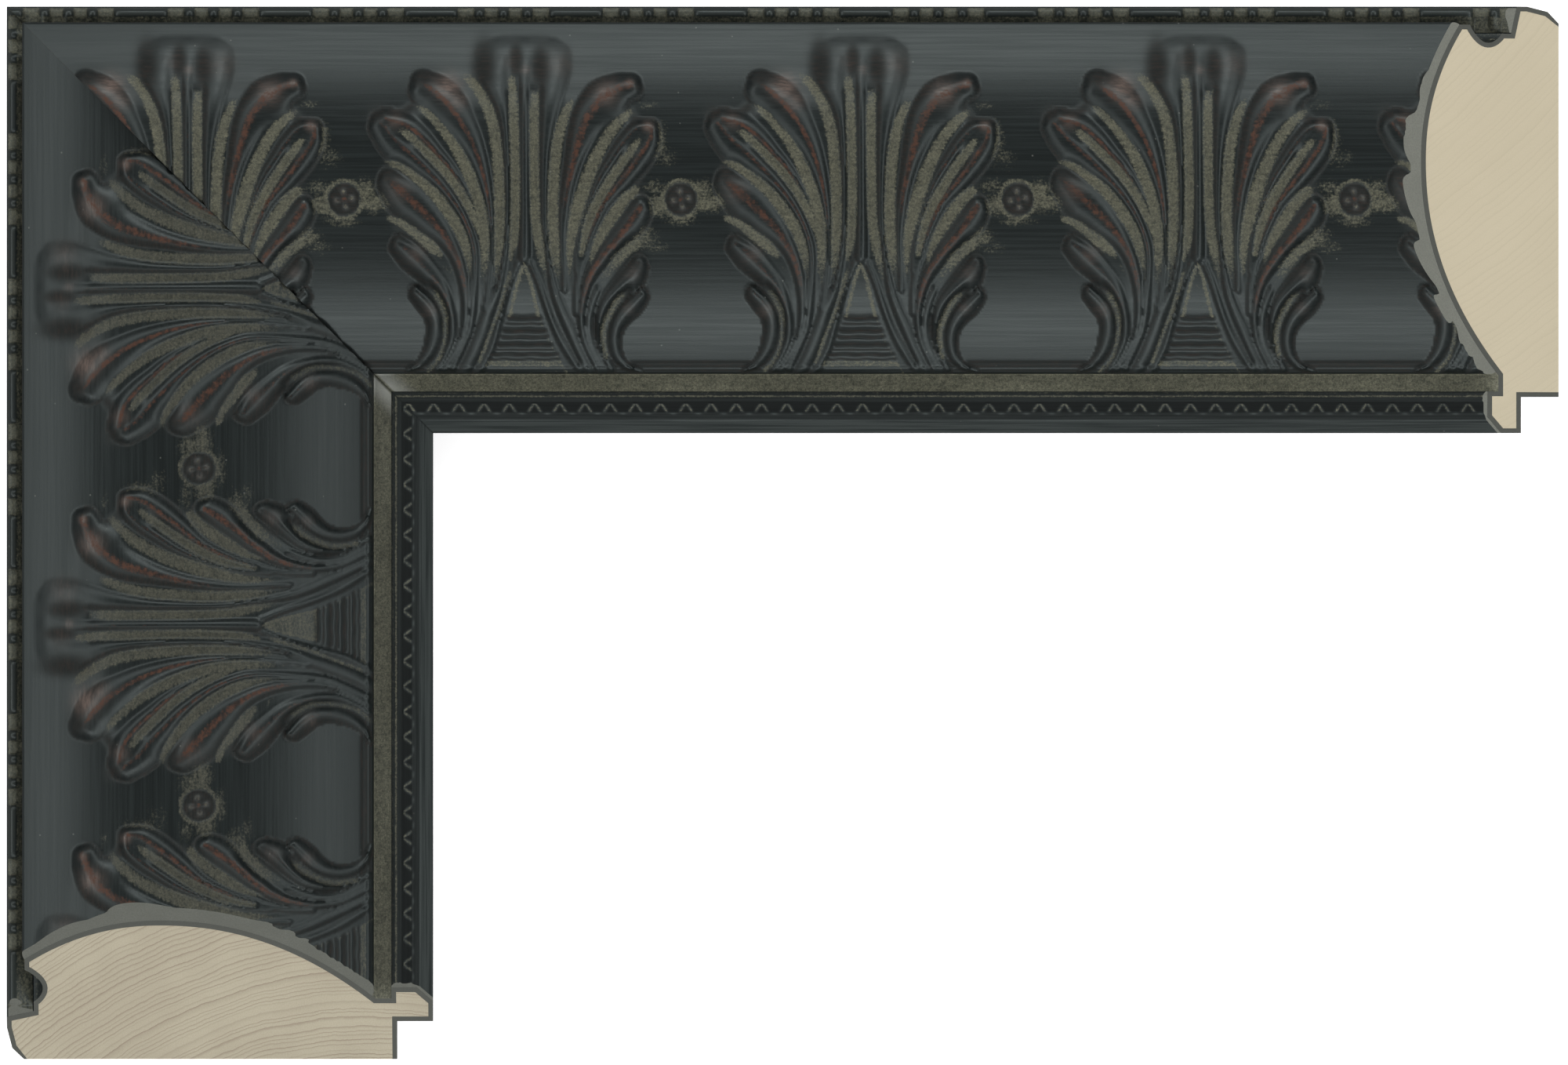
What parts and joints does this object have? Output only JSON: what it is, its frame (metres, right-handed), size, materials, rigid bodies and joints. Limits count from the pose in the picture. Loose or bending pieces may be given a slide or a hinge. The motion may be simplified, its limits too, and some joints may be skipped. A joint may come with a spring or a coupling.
{
  "type": "picture frame moulding corner sample",
  "caption": "Mitred corner sample of a dark picture frame moulding with cast leaves, rosettes and beads on a wooden rail, sawn off on a slope at its free ends.",
  "frame": {"origin": "under the middle of the bounding box, on the plane of the flat back", "axes": "+Z out of the moulding's front, +X along the longer arm away from the mitre, +Y from the shorter arm's sawn end to the mitre"},
  "size_m": [0.2912, 0.1976, 0.03],
  "materials": {
    "rail": "pale softwood, bare on the back and the sawn ends, under a dark blue-grey satin coat with a taupe wash in the flat beside the lip",
    "leaf_band": "cast composition, dark blue-grey satin paint with taupe wash in the hollows and a red-brown rub on the ridges",
    "bead_strip": "cast composition, dark blue-grey satin paint with an olive-taupe wash between the beads",
    "sight_edge": "cast composition, dark blue-grey satin paint, small arches picked out by worn edges"
  },
  "bodies": {
    "root": {"top_rail": "rail", "side_rail": "rail", "top_leaf_band": "leaf_band", "side_leaf_band": "leaf_band", "top_bead_strip": "bead_strip", "side_bead_strip": "bead_strip", "top_sight_edge": "sight_edge", "side_sight_edge": "sight_edge"}
  },
  "joints": []
}
